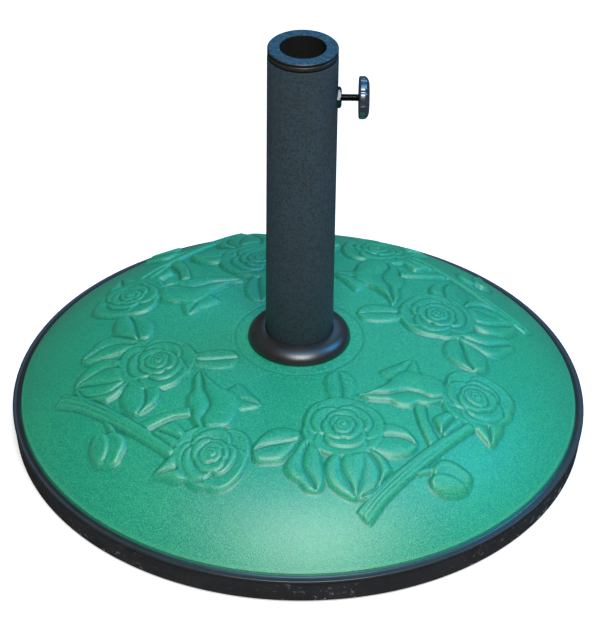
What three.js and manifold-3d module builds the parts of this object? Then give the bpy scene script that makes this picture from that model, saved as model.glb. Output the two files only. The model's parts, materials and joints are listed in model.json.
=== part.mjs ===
// A weighted base for a patio umbrella: a domed cover on a concrete slab in a black tray,
// and a bolted-on pole tube with two plug-in reducers and a thumbscrew.
// Millimetres, +Z up. The origin is on the ground under the tube's axis, and +X points
// from the tube towards the thumbscrew's knob.
import * as THREE from "three";
import { mergeVertices } from "three/addons/utils/BufferGeometryUtils.js";
import Module from "manifold-3d";

// Driving dimensions
const GAP = 0.3; // between pieces that touch
const BASE_R = 250;
const FOOT_STAND = 2; // how far the feet hold the tray off the ground
const TRAY = { footR: 248, topR: BASE_R - 0.4, topZ: 21.2, wall: 4, floor: 3 };
const LIP = { innerR: 243.4, bottomZ: TRAY.topZ + GAP, topZ: 24.4, edge: 1 };
const COVER = { r: 243, edgeZ: 25.3, rise: 60, power: 4, thick: 2, skirtZ: 19, holeR: 42.4 };
const TUBE = { r: 29, wall: 1.6, topZ: 364 };
const FLANGE = { r: 41, thick: 3, boltCircleR: 34.5, holeR: 3, bolts: 4, firstBolt: Math.PI / 4 };
const BOLT = { r: 2.4, length: 24, headAcrossFlats: 7, headHeight: 2.4 };
const WASHER = { r: 4.6, innerR: 2.7, thick: 1 };
const INSERT = { r: 4.5, boreR: 2.8, length: 22 };
const POLE = { wideR: 24, slimR: 19 }; // a 48 mm pole and a 38 mm pole
const REDUCER = { flangeR: 28.9, bottomZ: 334, leadIn: 3, grooveDepth: 1.4, mouthEdge: 0.4 };
const OUTER_RIM = { groove: 1.6, flange: 3.2 };
const INNER_RIM = { groove: 1, flange: 1.9 };
const SEAT = { topZ: 94, floorZ: 90, clearance: 0.1, funnel: 1.4 };
const RING = { r: 44.3, wideZ: 86, topZ: 96.6, wall: 2.4, tubeClearance: 0.6, footWidth: 1.2 };
const SCREW = { z: 325.7, r: 3.1, shoulder: 0.8 };
const NUT = { acrossFlats: 16, face: 31.9, chamfer: 1, turn: THREE.MathUtils.degToRad(-14) };
const KNOB = { r: 17.8, lobe: 0.5, lobes: 10, inner: 45.5, thick: 8.9, edge: 3, capR: 7.2, capInset: 0.4 };
const HEAD = { acrossFlats: 11, thick: 4, inner: 47.8, shankInset: 1 };
const PAD = { r: 4.4, thick: 3.2, edge: 0.6, floor: 1.2, boreR: 2.4, tipR: 2.1 };
const FOOT = { count: 6, ringR: 215, r: 15, taper: 0.8, stemR: 4 };
const BASE_SIDES = 64;
const TUBE_SIDES = 40;
const SMALL_SIDES = 20;
const BEYOND = 5; // how far a cutter runs past the piece it cuts

const wasm = await Module();
wasm.setup();

const material = (color, roughness, metalness = 0) =>
  new THREE.MeshStandardMaterial({ color, roughness, metalness });
const greenPaint = () => material(0x16a388, 0.42);
const blackPlastic = () => material(0x26272a, 0.75);
const glossBlack = () => material(0x14171c, 0.2);
const concrete = () => material(0x9a978f, 0.9);
const slatePaint = () => material(0x33424f, 0.5);
const zincSteel = () => material(0xb9bcc0, 0.35, 1);
const brass = () => material(0xc59a4a, 0.35, 1);
const bluePlastic = () => material(0x2f4b6b, 0.5);
const rubber = () => material(0x1c1c1c, 0.9);

const base = new THREE.Group();
base.name = "umbrella_base";

// Adds a named piece to the base, or to a group of it.
function add(name, geometry, finish, parent = base) {
  const mesh = new THREE.Mesh(geometry, finish);
  mesh.name = name;
  parent.add(mesh);
  return mesh;
}

// Turns a closed outline of [radius, height] points about the Z axis. The outline runs
// up its outer side, and one that touches the axis starts and ends on it.
function revolve(outline, sides = BASE_SIDES) {
  const points = outline.map(([r, z]) => new THREE.Vector2(r, z));
  const onAxis = outline[0][0] === 0;
  if (!onAxis) points.push(points[0].clone());
  return new THREE.LatheGeometry(points, sides).rotateX(Math.PI / 2);
}

const disc = (r, bottom, top, sides = SMALL_SIDES) =>
  revolve([[0, bottom], [r, bottom], [r, top], [0, top]], sides);
const washer = (inner, r, bottom, top, sides = SMALL_SIDES) =>
  revolve([[inner, bottom], [r, bottom], [r, top], [inner, top]], sides);

// A hexagonal prism about the Z axis with its outer corners chamfered at the top.
function hexagon(acrossFlats, bottom, top, chamfer = 0.6) {
  const cornerR = acrossFlats / Math.sqrt(3);
  const outline = [[0, bottom], [cornerR, bottom], [cornerR, top - chamfer / 2]];
  outline.push([cornerR - chamfer, top], [0, top]);
  return revolve(outline, 6);
}

function solidOf(geometry) {
  const bare = new THREE.BufferGeometry();
  bare.setAttribute("position", geometry.getAttribute("position"));
  bare.setIndex(geometry.index);
  const merged = mergeVertices(bare, 1e-4);
  const vertProperties = merged.attributes.position.array;
  const triVerts = new Uint32Array(merged.index.array);
  return new wasm.Manifold(new wasm.Mesh({ numProp: 3, vertProperties, triVerts }));
}

function geometryOf(solid) {
  const mesh = solid.getMesh();
  const geometry = new THREE.BufferGeometry();
  geometry.setAttribute("position", new THREE.BufferAttribute(mesh.vertProperties, mesh.numProp));
  geometry.setIndex(new THREE.BufferAttribute(mesh.triVerts, 1));
  return geometry;
}

const cut = (body, ...tools) =>
  geometryOf(tools.reduce((left, tool) => left.subtract(solidOf(tool)), solidOf(body)));

// Calls make(index, x, y) for count places evenly spaced on a circle.
function around(count, radius, make, start = 0) {
  for (let i = 0; i < count; i++) {
    const angle = start + (i * 2 * Math.PI) / count;
    make(i + 1, radius * Math.cos(angle), radius * Math.sin(angle));
  }
}

// Height of the cover's outside at a radius: flat in the middle, steep at the edge.
const domeZ = (r) => COVER.edgeZ + COVER.rise * (1 - (r / COVER.r) ** COVER.power);
const coverTopZ = domeZ(COVER.holeR);
const slabTopZ = coverTopZ - COVER.thick - GAP;

// Points on the dome from one radius to another, closer together where it curves more.
function domeLine(fromR, toR, drop, steps = 9) {
  return Array.from({ length: steps + 1 }, (_, i) => {
    const r = fromR + (toR - fromR) * (i / steps) ** 0.7;
    return [r, domeZ(r) - drop];
  });
}

function addTray() {
  const bottom = FOOT_STAND;
  const tray = revolve([
    [0, bottom],
    [TRAY.footR, bottom],
    [TRAY.topR, TRAY.topZ],
    [TRAY.topR - TRAY.wall, TRAY.topZ],
    [TRAY.footR - TRAY.wall, bottom + TRAY.floor],
    [0, bottom + TRAY.floor],
  ]);
  const holes = [];
  around(FOOT.count, FOOT.ringR, (_, x, y) => {
    const hole = disc(FOOT.stemR + GAP, 0, bottom + TRAY.floor + BEYOND);
    holes.push(hole.translate(x, y, 0));
  });
  add("base_tray", cut(tray, ...holes), blackPlastic());
}

function addFeet() {
  around(FOOT.count, FOOT.ringR, (number, x, y) => {
    const shape = revolve([
      [0, 0],
      [FOOT.r - FOOT.taper, 0],
      [FOOT.r, FOOT_STAND - GAP],
      [FOOT.stemR, FOOT_STAND - GAP],
      [FOOT.stemR, FOOT_STAND + TRAY.floor],
      [0, FOOT_STAND + TRAY.floor],
    ], SMALL_SIDES);
    add(`foot_${number}`, shape, rubber()).position.set(x, y, 0);
  });
}

function addLip() {
  const lip = revolve([
    [LIP.innerR, LIP.bottomZ],
    [BASE_R - LIP.edge, LIP.bottomZ],
    [BASE_R, LIP.bottomZ + LIP.edge],
    [BASE_R, LIP.topZ - LIP.edge],
    [BASE_R - LIP.edge, LIP.topZ],
    [LIP.innerR, LIP.topZ],
  ]);
  add("rim_band", lip, glossBlack());
}

function addCover() {
  const skirtR = COVER.r - COVER.thick;
  const outside = domeLine(COVER.holeR, COVER.r, 0).reverse();
  const inside = domeLine(COVER.holeR, skirtR, COVER.thick);
  const outline = [[skirtR, COVER.skirtZ], [COVER.r, COVER.skirtZ], ...outside, ...inside];
  add("top_cover", revolve(outline), greenPaint());
}

function addSlab() {
  const wallR = COVER.r - COVER.thick - GAP;
  const bottomZ = FOOT_STAND + TRAY.floor + GAP;
  const crown = domeLine(COVER.holeR, wallR, COVER.thick + GAP).reverse();
  const slab = revolve([
    [0, bottomZ],
    [TRAY.footR - TRAY.wall - GAP, bottomZ],
    [TRAY.footR - TRAY.wall - GAP, COVER.skirtZ - GAP],
    [wallR, COVER.skirtZ - GAP],
    ...crown,
    [0, slabTopZ],
  ]);
  const pocketZ = slabTopZ - INSERT.length - GAP;
  const pockets = [];
  around(FLANGE.bolts, FLANGE.boltCircleR, (_, x, y) => {
    const pocket = disc(INSERT.r + GAP, pocketZ, slabTopZ + BEYOND);
    pockets.push(pocket.translate(x, y, 0));
  }, FLANGE.firstBolt);
  add("ballast_slab", cut(slab, ...pockets), concrete());
}

function addFlange() {
  const bottom = slabTopZ + GAP;
  const top = bottom + FLANGE.thick;
  const holes = [];
  around(FLANGE.bolts, FLANGE.boltCircleR, (_, x, y) => {
    holes.push(disc(FLANGE.holeR, bottom - BEYOND, top + BEYOND).translate(x, y, 0));
  }, FLANGE.firstBolt);
  add("tube_flange", cut(disc(FLANGE.r, bottom, top, TUBE_SIDES), ...holes), slatePaint());

  around(FLANGE.bolts, FLANGE.boltCircleR, (number, x, y) => {
    const station = new THREE.Group();
    station.position.set(x, y, top + GAP);
    base.add(station);
    const boltSeat = WASHER.thick + GAP;
    const shank = disc(BOLT.r, boltSeat - BOLT.length, boltSeat + BOLT.headHeight / 2);
    const head = hexagon(BOLT.headAcrossFlats, boltSeat, boltSeat + BOLT.headHeight);
    const bolt = geometryOf(solidOf(shank).add(solidOf(head)));
    const insertTop = slabTopZ - station.position.z;
    const insert = washer(INSERT.boreR, INSERT.r, insertTop - INSERT.length, insertTop);
    const ring = washer(WASHER.innerR, WASHER.r, 0, WASHER.thick);
    add(`flange_washer_${number}`, ring, zincSteel(), station);
    add(`flange_bolt_${number}`, bolt, zincSteel(), station);
    add(`slab_insert_${number}`, insert, brass(), station);
  }, FLANGE.firstBolt);
}

// The tube stands on the flange, with a plastic seat for the pole's end inside its foot.
function addTube() {
  const bottom = slabTopZ + FLANGE.thick + 2 * GAP;
  const innerR = TUBE.r - TUBE.wall;
  const wall = washer(innerR, TUBE.r, bottom, TUBE.topZ, TUBE_SIDES);
  const screwHole = disc(SCREW.r + GAP, 0, TUBE.r + BEYOND).rotateY(Math.PI / 2);
  add("pole_tube", cut(wall, screwHole.translate(0, 0, SCREW.z)), slatePaint());

  const boreR = POLE.slimR + SEAT.clearance;
  const seat = revolve([
    [0, bottom],
    [innerR - GAP, bottom],
    [innerR - GAP, SEAT.topZ],
    [boreR + SEAT.funnel, SEAT.topZ],
    [boreR, SEAT.topZ - SEAT.funnel],
    [boreR, SEAT.floorZ],
    [0, SEAT.floorZ],
  ], TUBE_SIDES);
  add("pole_seat", seat, blackPlastic());
}

// A hollow bell that hides the flange and its bolts, free to slide up the tube.
function addTrimRing() {
  const boreR = TUBE.r + RING.tubeClearance;
  const seatZ = coverTopZ + GAP;
  const crown = (wide, high, steps) =>
    Array.from({ length: steps + 1 }, (_, i) => {
      const angle = (i / steps) * (Math.PI / 2);
      return [
        boreR + (wide - boreR) * Math.cos(angle),
        RING.wideZ + (high - RING.wideZ) * Math.sin(angle),
      ];
    });
  const footR = RING.r - RING.wall;
  const outside = crown(RING.r, RING.topZ, 7);
  const inside = crown(footR, RING.topZ - RING.wall, 4).reverse();
  const outline = [[footR, seatZ], [footR + RING.footWidth, seatZ], ...outside, ...inside];
  add("trim_ring", revolve(outline, TUBE_SIDES), glossBlack());
}

// Two nested plugs in the tube's mouth: the outer one takes the wide pole once the inner
// one, which takes the slim pole, is pulled out. Each has a groove under its flange.
function addReducers() {
  const grooveR = REDUCER.flangeR - REDUCER.grooveDepth;
  const tubeInnerR = TUBE.r - TUBE.wall;
  const plug = (boreR, socketR, seatZ, rim) => {
    const grooveTop = seatZ + rim.groove;
    const top = grooveTop + rim.flange;
    return revolve([
      [boreR, REDUCER.bottomZ],
      [socketR - 2 * GAP, REDUCER.bottomZ],
      [socketR - GAP, REDUCER.bottomZ + REDUCER.leadIn],
      [socketR - GAP, seatZ],
      [grooveR, seatZ],
      [grooveR, grooveTop],
      [REDUCER.flangeR, grooveTop],
      [REDUCER.flangeR, top],
      [boreR + REDUCER.mouthEdge, top],
      [boreR, top - REDUCER.mouthEdge],
    ], TUBE_SIDES);
  };
  const outerSeat = TUBE.topZ + GAP;
  const innerSeat = outerSeat + OUTER_RIM.groove + OUTER_RIM.flange + GAP;
  const outer = plug(POLE.wideR + GAP, tubeInnerR, outerSeat, OUTER_RIM);
  const inner = plug(POLE.slimR + GAP, POLE.wideR + GAP, innerSeat, INNER_RIM);
  add("outer_reducer", outer, bluePlastic());
  add("inner_reducer", inner, bluePlastic());
}

// A nut welded over the tube's hole, with its back hollowed to fit round the tube.
function addNut(along) {
  const back = TUBE.r - BEYOND;
  const prism = hexagon(NUT.acrossFlats, back, NUT.face, NUT.chamfer).rotateZ(NUT.turn);
  const thread = disc(SCREW.r + GAP, 0, NUT.face + BEYOND);
  const reach = NUT.acrossFlats;
  const tube = disc(TUBE.r + GAP, -reach, reach, TUBE_SIDES).rotateY(Math.PI / 2);
  add("boss_nut", cut(prism, thread, tube), zincSteel(), along);
}

// The screw's pieces lie along their group's Z axis, which points out of the tube.
function addThumbscrew(along) {
  const padBack = TUBE.r - TUBE.wall - 2 * GAP;
  const padFace = padBack - PAD.thick;
  const tipEnd = padFace + PAD.floor;
  const pad = revolve([
    [0, padFace],
    [PAD.r - PAD.edge, padFace],
    [PAD.r, padFace + PAD.edge],
    [PAD.r, padBack],
    [PAD.boreR, padBack],
    [PAD.boreR, tipEnd - GAP],
    [0, tipEnd - GAP],
  ], SMALL_SIDES);
  add("pressure_pad", pad, blackPlastic(), along);

  const headTop = HEAD.inner + HEAD.thick;
  const shank = revolve([
    [0, tipEnd],
    [PAD.tipR, tipEnd],
    [PAD.tipR, padBack + GAP],
    [SCREW.r, padBack + GAP + SCREW.shoulder],
    [SCREW.r, headTop - HEAD.shankInset],
    [0, headTop - HEAD.shankInset],
  ], SMALL_SIDES);
  const head = hexagon(HEAD.acrossFlats, HEAD.inner, headTop);
  add("screw_stud", geometryOf(solidOf(shank).add(solidOf(head))), zincSteel(), along);

  const knobFace = KNOB.inner + KNOB.thick;
  const body = lobedDisc(KNOB.inner, KNOB.thick);
  const bore = disc(SCREW.r + GAP, KNOB.inner - BEYOND, HEAD.inner);
  const pocket = hexagon(HEAD.acrossFlats + 2 * GAP, HEAD.inner - GAP, headTop + GAP, 0);
  const mouth = disc(KNOB.capR + GAP, headTop + GAP, knobFace + BEYOND);
  add("knob", cut(body, bore, pocket, mouth), blackPlastic(), along);

  const cap = disc(KNOB.capR, headTop + 2 * GAP, knobFace - KNOB.capInset);
  add("knob_cap", cap, blackPlastic(), along);
}

// A disc with shallow lobes for the fingers, flat below and rounded at its upper edge.
function lobedDisc(bottom, thick) {
  const outline = new THREE.Shape();
  const count = KNOB.lobes * 6;
  const points = Array.from({ length: count }, (_, i) => {
    const angle = (i / count) * 2 * Math.PI;
    const r = KNOB.r - KNOB.edge - KNOB.lobe * (1 - Math.cos(KNOB.lobes * angle));
    return new THREE.Vector2(r * Math.cos(angle), r * Math.sin(angle));
  });
  outline.setFromPoints(points);
  const rounding = { bevelThickness: KNOB.edge, bevelSize: KNOB.edge, bevelSegments: 3 };
  const rounded = new THREE.ExtrudeGeometry(outline, {
    depth: thick,
    bevelEnabled: true,
    ...rounding,
  }).translate(0, 0, bottom - KNOB.edge);
  const below = disc(KNOB.r + BEYOND, bottom - 2 * KNOB.edge, bottom);
  return geometryOf(solidOf(rounded).subtract(solidOf(below)));
}

addTray();
addFeet();
addLip();
addCover();
addSlab();
addFlange();
addTube();
addTrimRing();
addReducers();

// Turned so that its own Z axis runs along +X at the thumbscrew's height
const screwAxis = new THREE.Group();
screwAxis.position.set(0, 0, SCREW.z);
screwAxis.rotation.y = Math.PI / 2;
base.add(screwAxis);
addNut(screwAxis);
addThumbscrew(screwAxis);

export default base;
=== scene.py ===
"""A weighted patio umbrella base: green domed cover with roses in relief, black tray, pole tube."""

import json
import math

import bmesh
import bpy
import numpy as np
from mathutils import Matrix, Vector


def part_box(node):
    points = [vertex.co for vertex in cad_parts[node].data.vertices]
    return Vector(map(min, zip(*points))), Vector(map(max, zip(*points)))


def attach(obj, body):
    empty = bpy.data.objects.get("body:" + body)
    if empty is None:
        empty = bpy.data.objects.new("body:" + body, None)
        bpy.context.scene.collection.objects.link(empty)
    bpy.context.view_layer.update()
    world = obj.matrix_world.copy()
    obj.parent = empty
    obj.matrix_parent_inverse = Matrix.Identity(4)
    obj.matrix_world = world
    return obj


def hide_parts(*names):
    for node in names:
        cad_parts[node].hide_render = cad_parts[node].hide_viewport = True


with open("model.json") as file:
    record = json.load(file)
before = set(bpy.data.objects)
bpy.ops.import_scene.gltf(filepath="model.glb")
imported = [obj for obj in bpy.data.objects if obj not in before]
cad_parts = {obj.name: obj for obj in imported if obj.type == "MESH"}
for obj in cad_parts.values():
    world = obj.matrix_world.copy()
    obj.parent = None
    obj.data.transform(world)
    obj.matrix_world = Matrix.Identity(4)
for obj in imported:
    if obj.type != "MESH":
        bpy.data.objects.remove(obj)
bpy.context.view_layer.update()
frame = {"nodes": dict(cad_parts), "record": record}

MM = 0.001

# Sizes in millimetres. The driving ones come from the frame.
def box_mm(node):
    low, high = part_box(node)
    return Vector(low) / MM, Vector(high) / MM


COVER_LOW, COVER_HIGH = box_mm("top_cover")
COVER_R = COVER_HIGH.x
COVER_HOLE_R = 42.4
COVER_THICK = 2
COVER_SIDES = 1080
RELIEF_INNER_R, RELIEF_OUTER_R = 50, 206  # the cover's mesh is finest between these
DOME_RISE, DOME_POWER = 60, 4
COVER_EDGE_Z = COVER_HIGH.z - DOME_RISE * (1 - (COVER_HOLE_R / COVER_R) ** DOME_POWER)
FOOT_STEM_R = 4
TUBE_WALL = 1.6
RING_WALL = 2.4
RING_CLEARANCE = 0.6
OUTER_BORE_R, INNER_BORE_R = 24.3, 18.9
SCREW_HOLE_R = 3.4
GAP = 0.3  # between pieces that sit against each other
LINE_R, LINE_DEPTH, LINE_WIDTH = 55.5, 0.55, 1.3  # the ring pressed into the cover's middle
LIP_LOW, LIP_HIGH = box_mm("rim_band")
TRAY_LOW, TRAY_HIGH = box_mm("base_tray")
TUBE_LOW, TUBE_HIGH = box_mm("pole_tube")
RING_LOW, RING_HIGH = box_mm("trim_ring")
OUTER_LOW, OUTER_HIGH = box_mm("outer_reducer")
INNER_LOW, INNER_HIGH = box_mm("inner_reducer")
KNOB_LOW, KNOB_HIGH = box_mm("knob")
CAP_LOW, CAP_HIGH = box_mm("knob_cap")
STUD_LOW, STUD_HIGH = box_mm("screw_stud")
NUT_HIGH = box_mm("boss_nut")[1]
PAD_LOW, PAD_HIGH = box_mm("pressure_pad")
POLE_SEAT_LOW, POLE_SEAT_HIGH = box_mm("pole_seat")
SCREW_Z = (PAD_LOW.z + PAD_HIGH.z) / 2


# ---------------------------------------------------------------- meshes

def finish_mesh(name, vertices, faces, body, node, material, sharp=40):
    """Makes a smooth-shaded piece from points in millimetres, in place of a CAD node."""
    mesh = bpy.data.meshes.new(name)
    mesh.from_pydata((np.asarray(vertices, float) * MM).tolist(), [], np.asarray(faces).tolist())
    mesh.update()
    mesh.shade_smooth()
    mesh.set_sharp_from_angle(angle=math.radians(sharp))
    mesh.materials.append(material)
    piece = bpy.data.objects.new(name, mesh)
    bpy.context.scene.collection.objects.link(piece)
    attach(piece, body)
    if node:
        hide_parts(node)
    return piece


def rounded(corners, steps=5):
    """An outline with its corners rounded. Each corner is (r, z, radius)."""
    count = len(corners)
    points = []
    for i, (r, z, radius) in enumerate(corners):
        here = Vector((r, z))
        if radius == 0:
            points.append((r, z))
            continue
        before = Vector(corners[i - 1][:2]) - here
        after = Vector(corners[(i + 1) % count][:2]) - here
        reach = min(radius, before.length * 0.49, after.length * 0.49)
        start = here + before.normalized() * reach
        end = here + after.normalized() * reach
        for k in range(steps + 1):
            t = k / steps
            curve = start * (1 - t) ** 2 + here * 2 * t * (1 - t) + end * t**2
            points.append((curve.x, curve.y))
    return points


def revolve(outline, sides=128, axis="Z", closed=True):
    """Turns an outline of (radius, height) points about an axis through the screw or the tube."""
    rows = np.array(outline, float)
    angle = np.linspace(0, 2 * math.pi, sides, endpoint=False)
    radius, height = rows[:, 0][:, None], rows[:, 1][:, None]
    a = radius * np.cos(angle)
    b = radius * np.sin(angle)
    c = np.broadcast_to(height, a.shape)
    if axis == "Z":
        points = np.stack([a, b, c], -1)
    else:
        points = np.stack([c, a, b + SCREW_Z], -1)
    return grid_faces(points, closed)


def grid_faces(points, closed):
    """Faces over a grid of points that wraps round its second index, and its first if closed."""
    rows, sides = points.shape[:2]
    index = np.arange(rows * sides).reshape(rows, sides)
    below = index if closed else index[:-1]
    above = np.roll(index, -1, axis=0) if closed else index[1:]
    quads = np.stack(
        [below, np.roll(below, -1, axis=1), np.roll(above, -1, axis=1), above], -1
    )
    return points.reshape(-1, 3), quads.reshape(-1, 4)


def drilled(piece, holes):
    """Cuts round holes in a piece. Each hole is (start, end, radius) in millimetres."""
    cutter = bpy.data.meshes.new("cutter")
    shape = bmesh.new()
    for start, end, radius in holes:
        start, end = Vector(start) * MM, Vector(end) * MM
        along = end - start
        turned = along.to_track_quat("Z", "Y").to_matrix().to_4x4()
        place = Matrix.Translation((start + end) / 2) @ turned
        bmesh.ops.create_cone(
            shape, cap_ends=True, segments=48, radius1=radius * MM, radius2=radius * MM,
            depth=along.length, matrix=place)
    shape.to_mesh(cutter)
    shape.free()
    tool = bpy.data.objects.new("cutter", cutter)
    bpy.context.scene.collection.objects.link(tool)
    modifier = piece.modifiers.new("holes", "BOOLEAN")
    modifier.operation = "DIFFERENCE"
    modifier.solver = "EXACT"
    modifier.object = tool
    seen = piece.evaluated_get(bpy.context.evaluated_depsgraph_get())
    whole = piece.data
    piece.data = bpy.data.meshes.new_from_object(seen)
    piece.modifiers.clear()
    piece.data.set_sharp_from_angle(angle=math.radians(40))
    bpy.data.objects.remove(tool)
    bpy.data.meshes.remove(cutter)
    bpy.data.meshes.remove(whole)


def piece_of_revolution(name, outline, body, node, material, sides=128, axis="Z"):
    vertices, faces = revolve(outline, sides, axis)
    return finish_mesh(name, vertices, faces, body, node, material)


# ---------------------------------------------------------------- the relief of roses
# Millimetres in plan. One quarter of the cover is drawn and repeated four times.

STEP = 0.5
PLAN_X = np.arange(-62, 198, STEP)
PLAN_Y = np.arange(-216, -24, STEP)


def curve_through(points, closed=False, per=8):
    """A smooth curve through given points."""
    p = np.array(points, float)
    n = len(p)
    spans = n if closed else n - 1
    out = []
    for i in range(spans):
        if closed:
            a, b, c, d = p[(i - 1) % n], p[i], p[(i + 1) % n], p[(i + 2) % n]
        else:
            a, b, c, d = p[max(i - 1, 0)], p[i], p[i + 1], p[min(i + 2, n - 1)]
        for t in np.linspace(0, 1, per, endpoint=False):
            out.append(
                0.5 * (2 * b + (c - a) * t + (2 * a - 5 * b + 4 * c - d) * t**2
                       + (3 * b - a - 3 * c + d) * t**3)
            )
    out.append(p[0] if closed else p[-1])
    return np.array(out)


def along_line(line, x, y):
    """Distance to a line, the share of its length reached there, and the side of it."""
    best = np.full(x.shape, 1e9)
    share = np.zeros(x.shape)
    side = np.zeros(x.shape)
    lengths = np.hypot(*np.diff(line, axis=0).T)
    travelled = np.concatenate([[0], np.cumsum(lengths)])
    for i, (a, b) in enumerate(zip(line[:-1], line[1:])):
        dx, dy = b - a
        length = max(lengths[i], 1e-9)
        t = np.clip(((x - a[0]) * dx + (y - a[1]) * dy) / length**2, 0, 1)
        px = x - a[0] - t * dx
        py = y - a[1] - t * dy
        away = np.hypot(px, py)
        nearer = away < best
        best = np.where(nearer, away, best)
        share = np.where(nearer, (travelled[i] + t * length) / travelled[-1], share)
        side = np.where(nearer, np.sign(dx * py - dy * px), side)
    return best, share, side


def is_inside(outline, x, y):
    """True where a point is inside a closed outline."""
    odd = np.zeros(x.shape, bool)
    for (x0, y0), (x1, y1) in zip(outline[:-1], outline[1:]):
        if y0 == y1:
            continue
        crosses = (y0 > y) != (y1 > y)
        odd ^= crosses & (x < (x1 - x0) * (y - y0) / (y1 - y0) + x0)
    return odd


def ease(t):
    """A smooth step from 0 to 1."""
    t = np.clip(t, 0, 1)
    return t * t * (3 - 2 * t)


DRAFT = 4.2  # width of the slope at a shape's edge
SHOULDER = 0.7  # how far the edge is rounded down
DEPTH = 0.82  # share of the drawn heights that the pressing reaches
CREASE = 0.6  # depth of the fold pressed round a petal's edge
CREASE_WIDTH = 1.3
RIB_WIDTH = 1.8  # of the fold along a leaf's rib
GROOVE_WIDTH = 0.13  # of a stalk's grooves, as a share of the stalk's half-width


class Relief:
    """Heights above the dome, built up by laying one shape over another."""

    def __init__(self):
        self.height = np.zeros((len(PLAN_Y), len(PLAN_X)))

    def window(self, points, margin=3):
        """The part of the grid round some points: its slices and its coordinates."""
        low = np.min(points, axis=0) - margin
        high = np.max(points, axis=0) + margin
        columns = slice(*np.searchsorted(PLAN_X, [low[0], high[0]]))
        rows = slice(*np.searchsorted(PLAN_Y, [low[1], high[1]]))
        x, y = np.meshgrid(PLAN_X[columns], PLAN_Y[rows])
        return (rows, columns), x, y

    def lay(self, where, share, surface):
        """Covers a window with a surface, wholly where the share is 1."""
        under = self.height[where]
        self.height[where] = under + (surface - under) * share

    def leaf(self, outline, rib, edge=2.9, crest=2.3, rib_height=2.2, fold=1.2):
        """A leaf or sepal: low at its edge and its rib, and swollen between them."""
        outline = curve_through(outline, closed=True)
        rib = curve_through(rib)
        where, x, y = self.window(outline)
        to_edge = along_line(outline, x, y)[0]
        to_edge = np.where(is_inside(outline, x, y), to_edge, -to_edge)
        to_rib, share, side = along_line(rib, x, y)
        depth = np.clip(to_edge, 0, None)
        t = depth / (depth + to_rib + 1e-6)
        surface = edge * (1 - t) + rib_height * t + crest * 4 * t * (1 - t)
        surface -= fold * np.exp(-((to_rib / RIB_WIDTH) ** 2)) * (1 - share * 0.4)
        surface += 0.5 * np.where(side > 0, 1, -1) * ease(to_rib / 4)
        surface -= SHOULDER * (1 - ease(depth / 4))
        self.lay(where, ease((to_edge + DRAFT / 2) / DRAFT), surface)

    def stalk(self, line, widths, height, grooves=()):
        """A rounded stem, cut off at its ends. A groove is (place across, depth, reach)."""
        line = curve_through(line)
        where, x, y = self.window(line, margin=14)
        away, share, side = along_line(line, x, y)
        half = np.interp(share, np.linspace(0, 1, len(widths)), widths) / 2
        across = away * side / half
        surface = height * (0.25 + 0.75 * np.sqrt(np.clip(1 - across**2, 0, 1)))
        for place, depth, reach in grooves:
            groove = np.exp(-(((across - place) / GROOVE_WIDTH) ** 2))
            surface -= depth * groove * ease((reach - share) / 0.25)
        mask = ease((half - away) / 2.4 + 0.6)
        for end, inward in ((line[0], line[1] - line[0]), (line[-1], line[-2] - line[-1])):
            inward = inward / np.hypot(*inward)
            beyond = (x - end[0]) * inward[0] + (y - end[1]) * inward[1]
            mask = mask * ease(beyond / 0.8 + 0.5)
        self.lay(where, mask, surface)

    def petal(self, centre, angle, spread, radius, base, lip, wave=0.03, phase=0.0):
        """A cupped petal of a rose, its lip the highest, seen from above."""
        centre = np.array(centre)
        reach = radius * 1.25
        where, x, y = self.window([centre - reach, centre + reach], margin=1)
        x, y = x - centre[0], y - centre[1]
        r = np.hypot(x, y)
        turn = np.degrees(np.arctan2(y, x))
        f = ((turn - angle + 180) % 360 - 180) / spread
        edge = radius * np.sqrt(np.clip(1 - np.abs(f) ** 3, 0, None))
        edge *= 1 + wave * np.cos(f * math.pi * 1.5 + phase)
        edge = np.where(np.abs(f) < 1, edge, 0)
        u = np.clip(r / np.maximum(edge, 1), 0, 1.05)
        surface = base + lip * u**2.2 - SHOULDER * (1 - ease((edge - r) / 3))
        crease = np.exp(-(((r - edge - 0.8) / CREASE_WIDTH) ** 2)) * ease((1.15 - np.abs(f)) / 0.3)
        self.height[where] -= CREASE * crease * ease(self.height[where])
        draft = DRAFT * (0.55 + 0.45 * ease((radius - 14) / 14))
        self.lay(where, ease((edge - r + draft / 2) / draft), surface)

    def heart(self, centre, radius, base, turns, turn):
        """The rolled petals in the middle of a rose: a spiral groove in a low dome."""
        centre = np.array(centre)
        where, x, y = self.window([centre - radius, centre + radius], margin=2)
        x, y = x - centre[0], y - centre[1]
        r = np.hypot(x, y)
        surface = base + 0.9 * (1 - 0.35 * (r / radius) ** 2)
        spiral = r / radius * turns - (np.arctan2(y, x) + math.radians(turn)) / (2 * math.pi)
        groove = np.abs((spiral + 0.5) % 1 - 0.5) * radius / turns
        surface -= 1.1 * np.exp(-((groove / 1.0) ** 2)) * ease(r / 1.2)
        self.lay(where, ease((radius - r) + 0.35), surface)


# Rings of petals from the outside in: radius, base height, lip height, half-spread, angles
ROSE_RINGS = (
    (34, 1.2, 3.2, 72, (215, 150, 85, 325, 20, 265)),
    (25, 2.4, 3.0, 80, (160, 40, 280)),
    (17, 3.6, 2.4, 92, (215, 95, 335)),
    (10, 4.6, 1.9, 100, (150, 30, 270)),
)


def rose(relief, centre, radius, turn, variety):
    """Four rings of petals round a rolled heart. The variety changes the petals' sizes."""
    scale = radius / ROSE_RINGS[0][0]
    for ring, base, lip, spread, angles in ROSE_RINGS:
        for i, angle in enumerate(angles):
            size = scale * ring * (1 + 0.07 * math.sin(3.1 * i + variety))
            phase = i * 1.7 + variety
            relief.petal(centre, angle + turn, spread, size, base, lip, phase=phase)
    relief.heart(centre, 5 * scale, 5.6, 1.2, turn)


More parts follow.
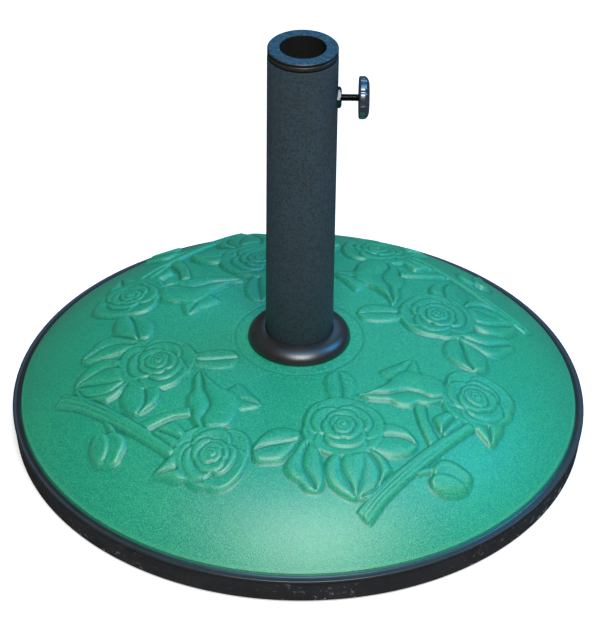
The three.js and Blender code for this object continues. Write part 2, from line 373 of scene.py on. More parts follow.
def quarter_relief():
    """One quarter's spray: leaves first, then the stalks, the bud and the two roses."""
    relief = Relief()
    # Leaf behind, near the middle of the spray
    relief.leaf(
        [(80, -60), (72, -55), (69, -50), (76, -44), (84, -39), (90, -34), (97, -31),
         (101, -35), (103, -42), (104, -50), (100, -55), (92, -58)],
        [(86, -60), (91, -48), (97, -33)], edge=1.8, crest=1.2,
    )
    # Leaf that points to the trim ring
    relief.leaf(
        [(30, -94), (24, -82), (22, -72), (22, -62), (25, -55), (32, -51), (40, -51),
         (46, -56), (49, -64), (49, -74), (46, -84), (42, -94)],
        [(36, -94), (37, -80), (36, -66), (34, -53)], edge=1.9, crest=1.2, rib_height=1.6,
    )
    # Long wavy leaf left of the outer rose
    relief.leaf(
        [(50, -82), (58, -79), (66, -73), (74, -66), (80, -57), (86, -50), (95, -48),
         (105, -50), (114, -52), (122, -57), (126, -68), (124, -80), (117, -86),
         (109, -89), (101, -89), (94, -93), (84, -93), (76, -89), (68, -89), (58, -88)],
        [(52, -83), (64, -81), (76, -80), (86, -76), (95, -74), (103, -76), (112, -80),
         (122, -78)],
    )
    # Broad leaf left of the inner rose
    relief.leaf(
        [(2, -139), (2, -130), (-8, -125), (-18, -125), (-26, -130), (-33, -138),
         (-37, -147), (-37, -156), (-33, -161), (-25, -162), (-15, -161), (-9, -157),
         (-2, -148)],
        [(6, -138), (-8, -141), (-18, -143), (-26, -145), (-35, -149)],
    )
    # Folded leaf below it
    relief.leaf(
        [(4, -138), (-3, -150), (-9, -160), (-10, -169), (-5, -176), (2, -181), (8, -187),
         (17, -187), (22, -180), (21, -168), (19, -157), (18, -146), (15, -138)],
        [(10, -138), (5, -153), (4, -165), (9, -175), (15, -185)], crest=2.0,
    )
    # Two halves of the leaf that hangs outwards
    relief.leaf(
        [(52, -145), (64, -146), (71, -151), (76, -159), (77, -164), (70, -174),
         (62, -186), (50, -190), (52, -172), (54, -158)],
        [(57, -147), (65, -158), (67, -168), (64, -180), (53, -188)], edge=2.2,
    )
    relief.leaf(
        [(34, -146), (26, -155), (22, -166), (24, -177), (31, -185), (40, -190),
         (48, -191), (51, -181), (54, -170), (56, -157), (55, -145), (45, -142)],
        [(42, -143), (36, -156), (36, -167), (40, -176), (47, -188)],
        edge=3.6, crest=2.2, rib_height=2.8,
    )
    # Leaf between the inner rose and the stalk
    relief.leaf(
        [(58, -132), (66, -121), (73, -116), (82, -116), (90, -120), (96, -127),
         (99, -135), (95, -143), (87, -148), (76, -150), (66, -148), (57, -142)],
        [(58, -135), (72, -130), (84, -129), (92, -131), (98, -135)], crest=2.0,
    )
    # Bud's stem, cut side shoot, and the stalk itself
    relief.stalk([(92, -162), (103, -158), (114, -153)], (5, 4.5, 5), 2.6)
    relief.stalk([(115, -133), (109, -120), (104, -106), (102, -90)], (12, 10, 9, 10), 4.0)
    relief.stalk(
        [(54, -204), (66, -188), (80, -172), (95, -156), (109, -141), (122, -127),
         (136, -112), (147, -101)],
        (13, 12, 11.5, 11, 11, 10, 10, 9), 4.8,
        grooves=((0.25, 1.7, 0.55), (0.62, 1.4, 0.45), (-0.45, 1.0, 0.9)),
    )
    # Young leaf in the fork
    relief.leaf(
        [(113, -104), (118, -98), (125, -93), (132, -91), (139, -94), (141, -100),
         (137, -107), (130, -114), (122, -121), (117, -114)],
        [(120, -117), (126, -107), (133, -97)], crest=2.2, rib_height=2.6,
    )
    # Bud: the petal behind, then the one in front
    relief.leaf(
        [(111, -157), (114, -149), (120, -144), (128, -143), (136, -146), (143, -150),
         (143, -157), (139, -163), (128, -162), (116, -162)],
        [(112, -160), (125, -152), (141, -156)], edge=3.0, crest=1.0, rib_height=4.2, fold=0,
    )
    relief.leaf(
        [(109, -165), (112, -160), (119, -157), (128, -157), (136, -160), (139, -165),
         (133, -170), (124, -173), (115, -173), (110, -170)],
        [(112, -167), (124, -164), (136, -165)], edge=4.2, crest=1.0, rib_height=6.0, fold=0,
    )
    # Sepal that hangs from the outer rose
    relief.leaf(
        [(142, -94), (150, -90), (160, -88), (171, -90), (171, -100), (167, -108),
         (162, -118), (156, -114), (149, -107), (144, -101)],
        [(157, -90), (160, -103), (162, -117)], edge=3.6,
    )
    rose(relief, (151, -71), 31, 20, 1.3)
    rose(relief, (37, -121), 34, 0, 0.2)
    return relief.height * DEPTH


def sample(field, x, y):
    """Reads a height field between its grid points, and 0 outside it."""
    u = (x - PLAN_X[0]) / STEP
    v = (y - PLAN_Y[0]) / STEP
    inside = (u >= 0) & (u < len(PLAN_X) - 1) & (v >= 0) & (v < len(PLAN_Y) - 1)
    u, v = np.where(inside, u, 0), np.where(inside, v, 0)
    i, j = u.astype(int), v.astype(int)
    fu, fv = u - i, v - j
    low = field[j, i] * (1 - fu) + field[j, i + 1] * fu
    high = field[j + 1, i] * (1 - fu) + field[j + 1, i + 1] * fu
    return np.where(inside, low * (1 - fv) + high * fv, 0)


def relief_height(field, x, y):
    """The quarter's heights at four quarter turns about the tube's axis."""
    height = np.zeros(x.shape)
    for _ in range(4):
        height = np.maximum(height, sample(field, x, y))
        x, y = y, -x
    return height


# ---------------------------------------------------------------- materials

def material(name, **sockets):
    """A material and its node tree, with constant values set on the shader's own sockets."""
    made = bpy.data.materials.new(name)
    made.use_nodes = True
    shader = made.node_tree.nodes["Principled BSDF"]
    for socket, value in sockets.items():
        shader.inputs[socket.replace("_", " ")].default_value = value
    return made


def node(made, kind, **settings):
    """A new node. Each setting is the value of an input or of an attribute."""
    new = made.node_tree.nodes.new(kind)
    for key, value in settings.items():
        if key in new.inputs:
            new.inputs[key].default_value = value
        else:
            setattr(new, key, value)
    return new


def link(made, source, target):
    made.node_tree.links.new(source, target)


def coordinates(made):
    return node(made, "ShaderNodeTexCoord").outputs["Object"]


def noise(made, scale, detail=4.0, roughness=0.6):
    """Noise in object space. The scale is in cells per metre."""
    new = node(made, "ShaderNodeTexNoise", Scale=scale, Detail=detail, Roughness=roughness)
    link(made, coordinates(made), new.inputs["Vector"])
    return new.outputs["Fac"]


def ramp(made, factor, *stops):
    """Colours at places along a factor: each stop is (place, colour)."""
    new = node(made, "ShaderNodeValToRGB")
    while len(new.color_ramp.elements) < len(stops):
        new.color_ramp.elements.new(0.5)
    for element, (place, colour) in zip(new.color_ramp.elements, stops):
        element.position = place
        element.color = (*colour, 1)
    link(made, factor, new.inputs["Fac"])
    return new.outputs["Color"]


def grey(value):
    return (value, value, value)


def mixed(made, factor, first, second):
    """Mixes two colours. Each input is a colour, a number or another node's output."""
    new = node(made, "ShaderNodeMix", data_type="RGBA")
    for socket, value in zip((new.inputs[0], new.inputs[6], new.inputs[7]),
                             (factor, first, second)):
        if isinstance(value, bpy.types.NodeSocket):
            link(made, value, socket)
        else:
            socket.default_value = (*value, 1) if isinstance(value, tuple) else value
    return new.outputs[2]


def set_shader(made, socket, source):
    shader = made.node_tree.nodes["Principled BSDF"]
    link(made, source, shader.inputs[socket])


def bump(made, height, strength, distance_mm, under=None):
    """A normal bumped by a height, over another bumped normal if there is one."""
    new = node(made, "ShaderNodeBump", Strength=strength, Distance=distance_mm * MM)
    link(made, height, new.inputs["Height"])
    if under is not None:
        link(made, under, new.inputs["Normal"])
    return new.outputs["Normal"]


def green_paint():
    """Satin green powder coat with a mottled grain; painted shade darkens the folds and a painted
    highlight pales the ridges.
    """
    made = material("green_paint", Specular_IOR_Level=0.8)
    broad = noise(made, 9, 3)
    mottle = noise(made, 320, 4, 0.8)
    speckle = noise(made, 850, 2, 0.8)
    curvature = node(made, "ShaderNodeNewGeometry").outputs["Pointiness"]
    ground = ramp(made, broad, (0.35, (0.0, 0.275, 0.155)), (0.65, (0.003, 0.335, 0.155)))
    dark = ramp(made, mottle, (0.42, grey(0.9)), (0.53, grey(0)))
    ground = mixed(made, dark, ground, (0.0, 0.240, 0.165))
    pale = ramp(made, speckle, (0.47, grey(0)), (0.62, grey(0.85)))
    ground = mixed(made, pale, ground, (0.060, 0.480, 0.215))
    # Painted highlight: convex ridges, found by pointiness, are painted a paler green where light
    # would catch them.
    ridge = ramp(made, curvature, (0.504, grey(0)), (0.530, grey(0.25)))
    ground = mixed(made, ridge, ground, (0.110, 0.470, 0.210))
    # Painted shade: concave folds, found by pointiness, are painted dark green where shade would
    # fall in the relief.
    fold = ramp(made, curvature, (0.470, grey(0.62)), (0.496, grey(0)))
    set_shader(made, "Base Color", mixed(made, fold, ground, (0.0, 0.130, 0.095)))
    set_shader(made, "Roughness", ramp(made, speckle, (0.35, grey(0.33)), (0.7, grey(0.47))))
    grain = bump(made, speckle, 0.65, 0.4)
    set_shader(made, "Normal", bump(made, mottle, 0.3, 0.4, grain))
    return made


def height_above(made, low_mm, high_mm):
    """0 below one height and 1 above another."""
    split = node(made, "ShaderNodeSeparateXYZ")
    link(made, coordinates(made), split.inputs["Vector"])
    scale = node(made, "ShaderNodeMapRange")
    link(made, split.outputs["Z"], scale.inputs["Value"])
    scale.inputs["From Min"].default_value = low_mm * MM
    scale.inputs["From Max"].default_value = high_mm * MM
    return scale.outputs["Result"]


def tray_plastic():
    """Coarse black plastic, chipped and scuffed along its lower edge."""
    made = material("tray_plastic", Specular_IOR_Level=0.2)
    broad = noise(made, 30, 4)
    rough = noise(made, 450, 4, 0.7)
    chips = noise(made, 170, 4, 0.75)
    patches = noise(made, 7, 1)
    base = ramp(made, broad, (0.3, grey(0.0130)), (0.7, (0.0210, 0.0210, 0.0220)))
    low = ramp(made, height_above(made, 4, 14), (0, grey(1)), (1, grey(0.25)))
    marks = ramp(made, chips, (0.59, grey(0)), (0.64, grey(1)))
    where = ramp(made, patches, (0.42, grey(0.1)), (0.56, grey(0.9)))
    marks = mixed(made, low, (0.0, 0.0, 0.0), marks)
    marks = mixed(made, where, (0.0, 0.0, 0.0), marks)
    set_shader(made, "Base Color", mixed(made, marks, base, (0.30, 0.29, 0.26)))
    set_shader(made, "Roughness", ramp(made, rough, (0.3, grey(0.62)), (0.7, grey(0.85))))
    set_shader(made, "Normal", bump(made, rough, 0.5, 0.4))
    return made


def gloss_trim():
    """Glossy black plastic of the lip and the ring, a little dusty."""
    made = material("gloss_trim", Specular_IOR_Level=0.9)
    smear = noise(made, 40, 4)
    dust = noise(made, 700, 3, 0.8)
    base = ramp(made, smear, (0.3, (0.014, 0.013, 0.012)), (0.7, (0.022, 0.021, 0.020)))
    set_shader(made, "Base Color", base)
    set_shader(made, "Roughness", ramp(made, dust, (0.35, grey(0.30)), (0.75, grey(0.42))))
    set_shader(made, "Normal", bump(made, smear, 0.06, 0.4))
    return made


def slate_paint():
    """Slate paint with a fine peel, browner in small patches."""
    made = material("slate_paint", Specular_IOR_Level=0.25)
    broad = noise(made, 22, 4)
    peel = noise(made, 1100, 2, 0.6)
    base = ramp(made, broad, (0.3, (0.024, 0.041, 0.051)), (0.7, (0.029, 0.053, 0.067)))
    brown = ramp(made, noise(made, 420, 4, 0.8), (0.46, grey(0)), (0.58, grey(0.9)))
    base = mixed(made, brown, base, (0.021, 0.024, 0.025))
    fleck = ramp(made, noise(made, 800, 2, 0.8), (0.52, grey(0)), (0.68, grey(0.55)))
    set_shader(made, "Base Color", mixed(made, fleck, base, (0.045, 0.068, 0.088)))
    set_shader(made, "Roughness", ramp(made, peel, (0.3, grey(0.46)), (0.7, grey(0.6))))
    set_shader(made, "Normal", bump(made, peel, 0.25, 0.15))
    return made


def cap_plastic():
    """Black plastic of the reducers; their top faces are painted a mottled navy, a painted
    reflection of the blue sky.
    """
    made = material("blue_plastic", Specular_IOR_Level=0.3)
    cloud = noise(made, 330, 5, 0.85)
    grain = noise(made, 1300, 3, 0.7)
    broad = noise(made, 60, 3)
    side = ramp(made, broad, (0.3, (0.012, 0.013, 0.011)), (0.7, (0.019, 0.019, 0.016)))
    # Painted reflection: the navy of the top face and its paler teal patches stand for the blue sky
    # mirrored in it.
    face = ramp(made, broad, (0.3, (0.009, 0.026, 0.050)), (0.7, (0.016, 0.040, 0.076)))
    painted_sheen_patches = ramp(made, cloud, (0.48, grey(0)), (0.60, grey(0.8)))
    face = mixed(made, painted_sheen_patches, face, (0.045, 0.130, 0.150))
    # Only the top face, above this height, gets the painted reflection; the sides keep the plastic's
    # own black.
    top = height_above(made, INNER_HIGH.z - 0.8, INNER_HIGH.z - 0.5)
    set_shader(made, "Base Color", mixed(made, top, side, face))
    set_shader(made, "Roughness", ramp(made, cloud, (0.35, grey(0.28)), (0.6, grey(0.50))))
    set_shader(made, "Normal", bump(made, grain, 0.3, 0.12))
    return made


def moulded_plastic(name, dark, light, rough, shine=0.5, ior=1.5):
    """Plain plastic or rubber with a fine grain."""
    made = material(name, Specular_IOR_Level=shine, IOR=ior)
    broad = noise(made, 70, 4)
    grain = noise(made, 1500, 3, 0.7)
    set_shader(made, "Base Color", ramp(made, broad, (0.3, dark), (0.7, light)))
    finish = ramp(made, grain, (0.3, grey(rough - 0.08)), (0.7, grey(rough + 0.08)))
    set_shader(made, "Roughness", finish)
    set_shader(made, "Normal", bump(made, grain, 0.2, 0.1))
    return made


def metal(name, dark, light, rough):
    """Worn metal, duller where it is paler."""
    made = material(name, Metallic=1.0)
    wear = noise(made, 300, 5, 0.7)
    set_shader(made, "Base Color", ramp(made, wear, (0.3, dark), (0.7, light)))
    finish = ramp(made, wear, (0.3, grey(rough - 0.07)), (0.7, grey(rough + 0.1)))
    set_shader(made, "Roughness", finish)
    set_shader(made, "Normal", bump(made, wear, 0.15, 0.1))
    return made


def concrete():
    """Cast concrete with dark pores."""
    made = material("concrete")
    broad = noise(made, 60, 6, 0.7)
    pores = noise(made, 500, 4, 0.8)
    base = ramp(made, broad, (0.3, (0.26, 0.25, 0.23)), (0.7, (0.40, 0.39, 0.36)))
    holes = ramp(made, pores, (0.3, grey(0.8)), (0.4, grey(0)))
    set_shader(made, "Base Color", mixed(made, holes, base, (0.12, 0.115, 0.11)))
    set_shader(made, "Roughness", ramp(made, pores, (0.3, grey(0.8)), (0.7, grey(0.95))))
    set_shader(made, "Normal", bump(made, pores, 0.6, 0.5))
    return made


MATERIALS = {
    "green_paint": green_paint(),
    "tray_plastic": tray_plastic(),
    "gloss_trim": gloss_trim(),
    "concrete": concrete(),
    "slate_paint": slate_paint(),
    "zinc_steel": metal("zinc_steel", (0.42, 0.43, 0.45), (0.60, 0.60, 0.60), 0.32),
    "dark_steel": metal("dark_steel", (0.035, 0.036, 0.040), (0.075, 0.080, 0.088), 0.3),
    "insert_brass": metal("insert_brass", (0.42, 0.27, 0.09), (0.60, 0.42, 0.17), 0.3),
    "black_plastic": moulded_plastic("black_plastic", grey(0.014), grey(0.024), 0.5),
    # The navy top face of this slot is a painted reflection; the plastic itself is black.
    "blue_plastic": cap_plastic(),
    "knob_plastic": moulded_plastic(
        "knob_plastic", (0.010, 0.014, 0.020), (0.016, 0.024, 0.034), 0.28, shine=1.0, ior=1.8),
    "foot_rubber": moulded_plastic("foot_rubber", grey(0.014), grey(0.026), 0.85),
}


# ---------------------------------------------------------------- the base

def dome_z(r):
    """Height of the plain dome at a radius."""
    return COVER_EDGE_Z + DOME_RISE * (1 - (r / COVER_R) ** DOME_POWER)


def make_cover():
    """The green cover: relief outside, plain inside, closed at its hole and its skirt."""
    angle = np.linspace(0, 2 * math.pi, COVER_SIDES, endpoint=False)
    field = quarter_relief()
    rings = np.concatenate([
        np.linspace(COVER_HOLE_R, RELIEF_INNER_R, 8, endpoint=False),
        np.linspace(RELIEF_INNER_R, RELIEF_OUTER_R, 172, endpoint=False),
        np.linspace(RELIEF_OUTER_R, COVER_R - 0.8, 26),
    ])
    x = rings[:, None] * np.cos(angle)
    y = rings[:, None] * np.sin(angle)
    line = LINE_DEPTH * np.exp(-(((rings[:, None] - LINE_R) / LINE_WIDTH) ** 2))
    z = dome_z(rings)[:, None] - line + relief_height(field, x, y)
    outside = np.stack([x, y, z], -1)
    edge_z = float(dome_z(rings[-1]))
    skirt_r = COVER_R - COVER_THICK
    inner_rings = np.linspace(skirt_r, COVER_HOLE_R, 24)
    turned = [(COVER_R, edge_z - 1.0), (COVER_R, COVER_LOW.z), (skirt_r, COVER_LOW.z)]
    turned += [(r, float(dome_z(r)) - COVER_THICK) for r in inner_rings]
    under = np.array([
        np.stack([r * np.cos(angle), r * np.sin(angle), np.full(COVER_SIDES, h)], -1)
        for r, h in turned
    ])
    points = np.concatenate([under[::-1], outside])
    vertices, faces = grid_faces(points, closed=True)
    return finish_mesh("rose_cover", vertices, faces[:, ::-1], "root",
                       "top_cover", MATERIALS["green_paint"], sharp=75)


def make_lip():
    """A glossy band: a bead against the cover, a dished top and a round outer corner."""
    inner, outer, top = COVER_R + 0.4, LIP_HIGH.x, LIP_HIGH.z
    outline = rounded([
        (inner, LIP_LOW.z, 0.2),
        (outer - 0.4, LIP_LOW.z, 0.3),
        (outer, LIP_LOW.z + 0.8, 0.5),
        (outer, top - 0.3, 0.7),
        (outer - 1.3, top - 0.1, 0.6),
        (outer - 3.2, top - 0.55, 1.0),
        (inner + 1.7, top - 0.15, 0.6),
        (inner + 0.4, top + 0.5, 0.5),
        (inner, top - 0.4, 0.4),
    ])
    piece_of_revolution("glossy_lip", outline, "root", "rim_band",
                        MATERIALS["gloss_trim"], sides=360)


def foot_centres():
    """Each foot's number, centre, and lowest and highest height."""
    for number in range(1, 7):
        low, high = box_mm(f"foot_{number}")
        yield number, (low + high) / 2, low.z, high.z


def make_tray():
    """The tray: a floor, a side wall that leans out, and a hole for each foot's stem."""
    top, bottom = TRAY_HIGH.z, TRAY_LOW.z
    outer, foot = TRAY_HIGH.x, TRAY_HIGH.x - 1.6
    outline = rounded([
        (0.5, bottom + 0.5, 0),
        (150, bottom + 0.5, 1),
        (160, bottom, 1),
        (foot - 0.3, bottom, 1.0),
        (foot, bottom + 1.2, 0.8),
        (outer, top - 0.5, 0.5),
        (outer - 0.6, top, 0.4),
        (outer - 3.6, top, 0.3),
        (foot - 3.9, bottom + 3, 0.5),
        (0.5, bottom + 3, 0),
    ])
    tray = piece_of_revolution("tray_shell", outline, "root", "base_tray",
                               MATERIALS["tray_plastic"], sides=360)
    holes = []
    for _, centre, _, _ in foot_centres():
        start, end = (centre.x, centre.y, bottom - 2), (centre.x, centre.y, bottom + 6)
        holes.append((start, end, FOOT_STEM_R + GAP))
    drilled(tray, holes)


def make_feet():
    """Round rubber pads, hollow underneath, on stems that go through the tray's floor."""
    under_tray = TRAY_LOW.z - GAP
    for number, centre, low, high in foot_centres():
        outline = rounded([
            (0.3, low + 0.6, 0),
            (6, low + 0.6, 0.5),
            (7, low, 0.5),
            (13.6, low, 0.8),
            (15, under_tray - 0.4, 0.5),
            (14.4, under_tray, 0.2),
            (FOOT_STEM_R, under_tray, 0),
            (FOOT_STEM_R, high, 0.3),
            (0.3, high, 0),
        ], steps=3)
        vertices, faces = revolve(outline, 48)
        vertices = vertices + np.array([centre.x, centre.y, 0])
        finish_mesh(f"rubber_foot_{number}", vertices, faces, "root",
                    f"foot_{number}", MATERIALS["foot_rubber"])


# ---------------------------------------------------------------- the tube and its plugs

def make_tube():
    """The tube's wall, with the screw's hole through its +X side."""
    outer = TUBE_HIGH.x
    inner = outer - TUBE_WALL
    outline = rounded([
        (inner, TUBE_LOW.z, 0),
        (outer, TUBE_LOW.z, 0),
        (outer, TUBE_HIGH.z, 0.7),
        (inner, TUBE_HIGH.z, 0.4),
    ])
    tube = piece_of_revolution("tube_wall", outline, "root", "pole_tube",
                               MATERIALS["slate_paint"], sides=160)
    drilled(tube, [((inner - 5, 0, SCREW_Z), (outer + 5, 0, SCREW_Z), SCREW_HOLE_R)])


def quarter_ellipse(centre_r, low_z, wide, high, steps):
    """Points of an outline from its widest place up to its top."""
    for angle in np.linspace(0, math.pi / 2, steps):
        yield centre_r + wide * math.cos(angle), low_z + high * math.sin(angle)


def make_trim_ring():
    """A hollow bell-shaped ring that stands on the cover, widest at its foot."""
    bore = TUBE_HIGH.x + RING_CLEARANCE
    wide, wall = RING_HIGH.x, RING_WALL
    wide_z = RING_LOW.z + 0.7
    high = RING_HIGH.z - wide_z
    outside = list(quarter_ellipse(bore, wide_z, wide - bore, high, 30))
    inside = list(quarter_ellipse(bore, wide_z, wide - wall - bore, RING_HIGH.z - wall - wide_z, 18))
    foot = rounded([
        (wide - wall, RING_LOW.z, 0),
        (wide - 0.5, RING_LOW.z, 0.3),
        (wide, RING_LOW.z + 0.5, 0.4),
        outside[0] + (0,),
    ])[:-1]
    piece_of_revolution("bell_ring", foot + outside + inside[::-1], "trim_ring",
                        "trim_ring", MATERIALS["gloss_trim"], sides=180)


def make_plug(name, node, low, high, bore, socket, rim):
    """A plug-in reducer: a sleeve, and a flange with a groove under it."""
    seat, groove, lead_in, groove_depth = rim
    flange = high.x
    outline = rounded([
        (bore, low.z, 0.4),
        (socket - 0.3, low.z, 0.5),
        (socket, low.z + lead_in, 0),
        (socket, seat, 0),
        (flange - groove_depth, seat, 0.2),
        (flange - groove_depth, seat + groove, 0.2),
        (flange - 0.1, seat + groove, 0.3),
        (flange, high.z - 0.9, 0.3),
        (flange - 0.9, high.z, 0.4),
        (bore + 0.1, high.z, 0.3),
        (bore, high.z - 0.6, 0.2),
    ])
    piece_of_revolution(name, outline, node, node,
                        MATERIALS["blue_plastic"], sides=160)


def make_reducers():
    """Two plugs, one in the other. A rim is (seat height, groove, lead-in, groove depth)."""
    outer_rim = (TUBE_HIGH.z + GAP, 1.6, 3, 1.4)
    inner_rim = (OUTER_HIGH.z + GAP, 1.0, 3, 1.4)
    in_tube = TUBE_HIGH.x - TUBE_WALL - GAP
    in_outer = OUTER_BORE_R - 2 * GAP
    make_plug("outer_plug", "outer_reducer", OUTER_LOW, OUTER_HIGH, OUTER_BORE_R, in_tube,
              outer_rim)
    make_plug("inner_plug", "inner_reducer", INNER_LOW, INNER_HIGH, INNER_BORE_R, in_outer,
              inner_rim)


def make_pole_seat():
    """The cup inside the tube's foot that holds the pole's end."""
    outer = POLE_SEAT_HIGH.x
    floor = POLE_SEAT_HIGH.z - 4
    outline = rounded([
        (0.4, POLE_SEAT_LOW.z, 0),
        (outer, POLE_SEAT_LOW.z, 0.5),
        (outer, POLE_SEAT_HIGH.z, 0.6),
        (20.6, POLE_SEAT_HIGH.z, 0.6),
        (19.1, POLE_SEAT_HIGH.z - 1.5, 0.4),
        (19.1, floor, 0.3),
        (0.4, floor, 0),
    ])
    piece_of_revolution("seat_cup", outline, "root", "pole_seat",
                        MATERIALS["black_plastic"], sides=120)


# ---------------------------------------------------------------- the thumbscrew
# These pieces lie along +X at the screw's height.

def screw_rings(rings):
    """Points of rings about the screw's axis. Each ring is (places along X, radii)."""
    sides = len(rings[0][1])
    angle = np.linspace(0, 2 * math.pi, sides, endpoint=False)
    return np.array([
        np.stack([np.broadcast_to(x, sides), -radius * np.cos(angle),
                  SCREW_Z + radius * np.sin(angle)], -1)
        for x, radius in rings
    ])


def make_nut():
    """A hexagonal nut, chamfered at its face, its back hollowed to fit round the tube."""
    across, bore, face = 16, SCREW_HOLE_R, NUT_HIGH.x
    corner = across / math.sqrt(3)
    turn = math.radians(14)
    sides = 120
    angle = np.linspace(0, 2 * math.pi, sides, endpoint=False)
    from_flat = (angle - turn) % (math.pi / 3) - math.pi / 6
    hexagon = np.minimum(across / 2 / np.cos(from_flat), corner * 0.98)
    hole = np.full(sides, bore)

    def on_tube(radius):
        return np.sqrt((TUBE_HIGH.x + GAP) ** 2 - (radius * np.cos(angle)) ** 2)

    rings = [
        (on_tube(hole), hole),
        (np.full(sides, face - 0.5), hole),
        (np.full(sides, face), hole + 0.5),
        (np.full(sides, face), np.full(sides, 6.7)),
        (np.full(sides, face - 0.25), np.full(sides, 7.4)),
        (np.full(sides, face - 0.7), np.minimum(hexagon, 8.2)),
        (np.full(sides, face - 1.3), hexagon),
        (on_tube(hexagon), hexagon),
    ]
    vertices, faces = grid_faces(screw_rings(rings), closed=True)
    finish_mesh("welded_nut", vertices, faces, "root", "boss_nut",
                MATERIALS["dark_steel"], sharp=28)


def make_stud():
    """The screw with a real helical thread, down to its plain tip."""
    major, depth, pitch = 3.1, 0.55, 1.27
    sides = 40
    angle = np.linspace(0, 2 * math.pi, sides, endpoint=False)
    tip_x, end_x = STUD_LOW.x, STUD_HIGH.x - 3
    start = tip_x + 2.2
    rows = [np.full(sides, 0.2), np.full(sides, 1.7), np.full(sides, 2.1), np.full(sides, 2.1)]
    places = [tip_x, tip_x, tip_x + 0.4, start]
    for x in np.arange(start + 0.05, end_x, pitch / 8):
        phase = (x / pitch - angle / (2 * math.pi)) % 1
        fade = min(1.0, (x - start) / 1.5)
        ridge = 1 - np.clip(np.abs(phase - 0.5) * 2.6 - 0.2, 0, 1)
        rows.append((major - depth) + depth * ridge * fade)
        places.append(x)
    rows.append(np.full(sides, 0.2))
    places.append(end_x)
    points = np.array([
        np.stack([np.full(sides, x), ring * np.cos(angle), SCREW_Z + ring * np.sin(angle)], -1)
        for x, ring in zip(places, rows)
    ])
    vertices, faces = grid_faces(points, closed=True)
    finish_mesh("threaded_stud", vertices, faces[:, ::-1], "thumbscrew",
                "screw_stud", MATERIALS["dark_steel"], sharp=50)


def make_knob():
    """A knob with ten finger lobes, flat towards the tube and domed outwards."""
    near, far, full = KNOB_LOW.x, KNOB_HIGH.x, 17.7
    lobes, sides = 10, 300
    pitch = 2 * math.pi / lobes
    angle = np.linspace(0, 2 * math.pi, sides, endpoint=False)
    from_groove = (angle - math.radians(9) + pitch / 2) % pitch - pitch / 2
    groove = np.exp(-((np.abs(from_groove) / 0.075) ** 2))
    crown = np.cos(from_groove / pitch * 2 * math.pi)
    side = full - 0.03 * (1 + crown) - 0.8 * groove
    thick = far - near
    profile = [(0.2, 0), (0.78, 0), (0.93, 0.02), (0.97, 0.06), (0.99, 0.12), (1.0, 0.22)]
    dome = np.linspace(0, math.pi / 2, 12)
    profile += [(1 - 0.42 * (1 - math.cos(a)), 0.5 + 0.5 * math.sin(a)) for a in dome]
    profile += [(0.49, 0.995), (0.455, 0.97), (0.44, 0.9), (0.44, 0.74), (0.2, 0.74)]
    rings = []
    for share, place in profile:
        radius = side * share if share > 0.5 else np.full(sides, share * full)
        rings.append((near + thick * place, radius))
    vertices, faces = grid_faces(screw_rings(rings), closed=True)
    finish_mesh("lobed_knob", vertices, faces[:, ::-1], "thumbscrew", "knob",
                MATERIALS["knob_plastic"], sharp=50)


def make_knob_cap():
    """The disc over the screw's head, dished in its middle."""
    rim = CAP_HIGH.y - 0.1
    outline = rounded([
        (0.2, CAP_LOW.x, 0),
        (rim, CAP_LOW.x, 0.2),
        (rim, CAP_HIGH.x - 0.3, 0.4),
        (5.6, CAP_HIGH.x, 0.4),
        (4.8, CAP_HIGH.x - 0.3, 0.3),
        (0.2, CAP_HIGH.x - 0.3, 0),
    ])
    vertices, faces = revolve(outline, 72, axis="X")
    finish_mesh("cap_disc", vertices, faces, "thumbscrew", "knob_cap",
                MATERIALS["knob_plastic"])


def make_pad():
    """The pad on the screw's tip, with a blind bore for the tip."""
    bore, bore_end = 2.4, PAD_HIGH.x - 2.2
    outline = rounded([
        (0.2, PAD_LOW.x, 0),
        (3.6, PAD_LOW.x, 0.4),
        (PAD_HIGH.y, PAD_LOW.x + 0.7, 0.4),
        (PAD_HIGH.y, PAD_HIGH.x, 0.3),
        (bore, PAD_HIGH.x, 0.2),
        (bore, bore_end, 0),
        (0.2, bore_end, 0),
    ])
    vertices, faces = revolve(outline, 60, axis="X")
    finish_mesh("swivel_pad", vertices, faces, "pressure_pad",
                "pressure_pad", MATERIALS["black_plastic"])


# ---------------------------------------------------------------- stage

CAMERA_PLACE = (0.0004, -1.8068, 1.4054)
CAMERA_PITCH, CAMERA_ROLL = 54.46, 0.78
LENS_MM, SENSOR_MM = 150.9, 36


def make_floor():
    """A plain pale floor that glows a little, so that it stays pale far from the lights."""
    made = material("floor", Roughness=0.9, Emission_Color=(1, 1, 1, 1), Emission_Strength=0.6)
    tone = ramp(made, noise(made, 3, 2), (0.3, grey(0.86)), (0.7, grey(0.88)))
    set_shader(made, "Base Color", tone)
    half = 12.0
    mesh = bpy.data.meshes.new("floor")
    corners = [(-half, -half, 0), (half, -half, 0), (half, half, 0), (-half, half, 0)]
    mesh.from_pydata(corners, [], [(0, 1, 2, 3)])
    mesh.materials.append(made)
    floor = bpy.data.objects.new("floor", mesh)
    bpy.context.scene.collection.objects.link(floor)
    floor.visible_glossy = False  # kept out of the reflections, as with black cards


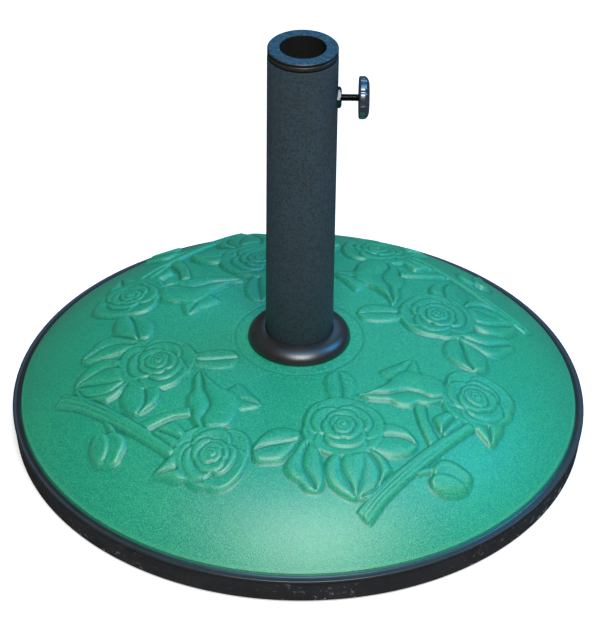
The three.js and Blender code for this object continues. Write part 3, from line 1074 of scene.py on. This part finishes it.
def area_light(name, azimuth, elevation, distance, size, power, colour=(1, 1, 1)):
    """A soft box that faces the base. Azimuth 0 is the camera's side, and 90 is +X."""
    data = bpy.data.lights.new(name, "AREA")
    data.shape = "RECTANGLE"
    data.size, data.size_y = size
    data.energy = power
    data.color = colour
    light = bpy.data.objects.new(name, data)
    a, e = math.radians(azimuth), math.radians(elevation)
    target = Vector((0, 0, 0.05))
    away = Vector((math.sin(a) * math.cos(e), -math.cos(a) * math.cos(e), math.sin(e)))
    light.location = target + away * distance
    light.rotation_euler = away.to_track_quat("Z", "Y").to_euler()
    bpy.context.scene.collection.objects.link(light)


def make_lights():
    """White light from the camera's side, and blue sky from above and from behind."""
    sky = (0.06, 0.46, 1.0)
    area_light("key", 8, 61, 2.4, (1.1, 1.2), 50)
    area_light("sky_right", 105, 48, 2.2, (0.8, 0.8), 20, sky)
    area_light("sky_top", 90, 86, 2.2, (0.8, 1.1), 11, sky)
    area_light("sky_back", 170, 44, 2.4, (1.2, 1.1), 6, (0.22, 0.60, 1.0))
    world = bpy.data.worlds.new("world")
    world.use_nodes = True
    background = world.node_tree.nodes["Background"]
    background.inputs["Color"].default_value = (0.92, 0.96, 1.0, 1)
    background.inputs["Strength"].default_value = 0.08
    bpy.context.scene.world = world


def make_camera():
    """The camera at the photograph's viewing angle, in front of the base and above it."""
    data = bpy.data.cameras.new("camera")
    data.sensor_width = SENSOR_MM
    data.lens = LENS_MM
    camera = bpy.data.objects.new("camera", data)
    bpy.context.scene.collection.objects.link(camera)
    place = Matrix.Translation(CAMERA_PLACE)
    look = Matrix.Rotation(math.radians(CAMERA_PITCH), 4, "X")
    roll = Matrix.Rotation(math.radians(CAMERA_ROLL), 4, "Z")
    camera.matrix_world = place @ look @ roll
    bpy.context.scene.camera = camera


def dress_cad_nodes():
    """Gives the CAD nodes that stay in view the procedural material of their slot."""
    slots = {row["node"]: row["material_slot"] for row in frame["record"]["subparts"]}
    for name, obj in frame["nodes"].items():
        made = MATERIALS[slots[name]]
        for place in obj.material_slots:
            place.material = made


make_camera()
dress_cad_nodes()
make_cover()
make_lip()
make_tray()
make_feet()
make_tube()
make_trim_ring()
make_reducers()
make_pole_seat()
make_nut()
make_stud()
make_knob()
make_knob_cap()
make_pad()
make_floor()
make_lights()
bpy.context.scene.view_settings.view_transform = "Standard"
